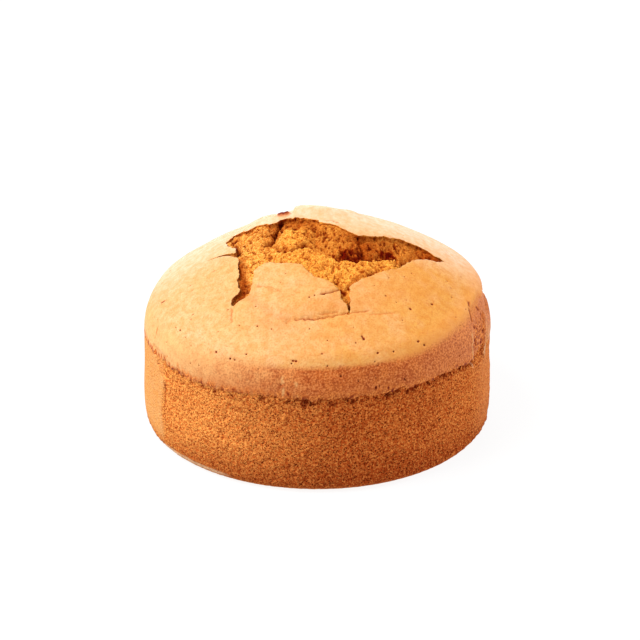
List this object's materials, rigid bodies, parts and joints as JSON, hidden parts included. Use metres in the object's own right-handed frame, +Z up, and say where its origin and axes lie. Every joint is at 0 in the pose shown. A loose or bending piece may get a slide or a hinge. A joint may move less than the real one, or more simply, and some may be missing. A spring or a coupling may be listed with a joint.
{
  "type": "sponge cake",
  "caption": "Tall round sponge cake with bare crumb sides and a smooth domed crust, burst open across the top over coarse crumb, on a flat base.",
  "frame": {"origin": "middle of the flat base the cake stands on", "axes": "+Z up, -Y the front with the tongue of crust, +X to the right of it"},
  "size_m": [0.1837, 0.1816, 0.1091],
  "materials": {
    "baked_sponge": "dry golden crust over an open amber crumb"
  },
  "bodies": {
    "root": {"sponge_cake": "baked_sponge"}
  },
  "joints": []
}
